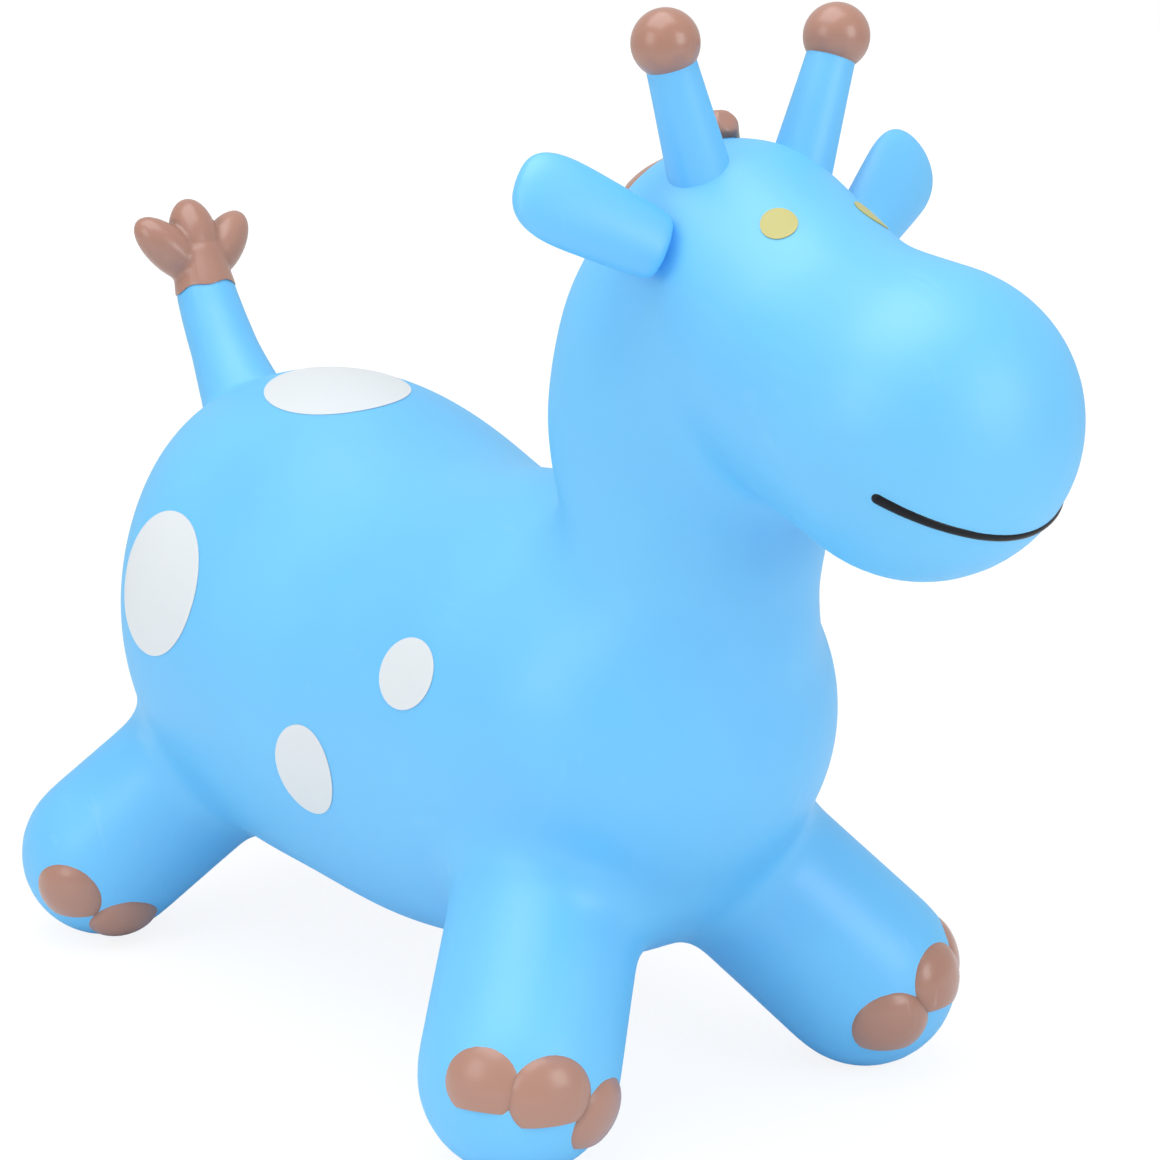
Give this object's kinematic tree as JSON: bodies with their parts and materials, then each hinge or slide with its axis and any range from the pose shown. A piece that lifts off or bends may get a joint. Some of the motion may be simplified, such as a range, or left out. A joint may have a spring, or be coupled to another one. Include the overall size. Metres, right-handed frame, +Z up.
{
  "type": "animal_hopper",
  "caption": "Blue inflatable giraffe bounce hopper with brown painted toes, horn balls, mane and tail tuft, white spots and a push-in air plug under the belly.",
  "frame": {"origin": "middle of the footprint on the floor, under the middle of the length and width", "axes": "+X towards the animal's nose, +Y to its left, +Z up"},
  "size_m": [0.628, 0.2872, 0.4759],
  "materials": {
    "blue_vinyl": "semi-matte soft vinyl, light blue",
    "brown_paint": "sprayed brown vinyl paint with a low sheen",
    "white_paint": "sprayed white vinyl paint",
    "yellow_paint": "sprayed pale yellow vinyl paint",
    "black_paint": "brushed black vinyl paint",
    "valve_bush_plastic": "pale grey moulded plastic",
    "valve_plug_plastic": "white moulded plastic"
  },
  "bodies": {
    "hopper": {"skin": "blue_vinyl", "valve_bush": "valve_bush_plastic", "front_right_outer_toe_paint": "brown_paint", "front_right_middle_toe_paint": "brown_paint", "front_right_inner_toe_paint": "brown_paint", "rear_right_outer_toe_paint": "brown_paint", "rear_right_inner_toe_paint": "brown_paint", "front_left_outer_toe_paint": "brown_paint", "front_left_middle_toe_paint": "brown_paint", "front_left_inner_toe_paint": "brown_paint", "rear_left_outer_toe_paint": "brown_paint", "rear_left_inner_toe_paint": "brown_paint", "horn_ball_paint_right": "brown_paint", "horn_ball_paint_left": "brown_paint", "mane_paint": "brown_paint", "tail_tuft_paint": "brown_paint", "back_spot": "white_paint", "rump_spot_right": "white_paint", "flank_spot_right": "white_paint", "low_spot_right": "white_paint", "eye_right": "yellow_paint", "rump_spot_left": "white_paint", "flank_spot_left": "white_paint", "low_spot_left": "white_paint", "eye_left": "yellow_paint", "smile": "black_paint"},
    "plug": {"valve_plug": "valve_plug_plastic"}
  },
  "joints": [
    {"name": "plug_pull", "type": "slide", "parent": "hopper", "child": "plug", "axis": [0, 0, -1], "range_m": [0, 0.028]}
  ]
}
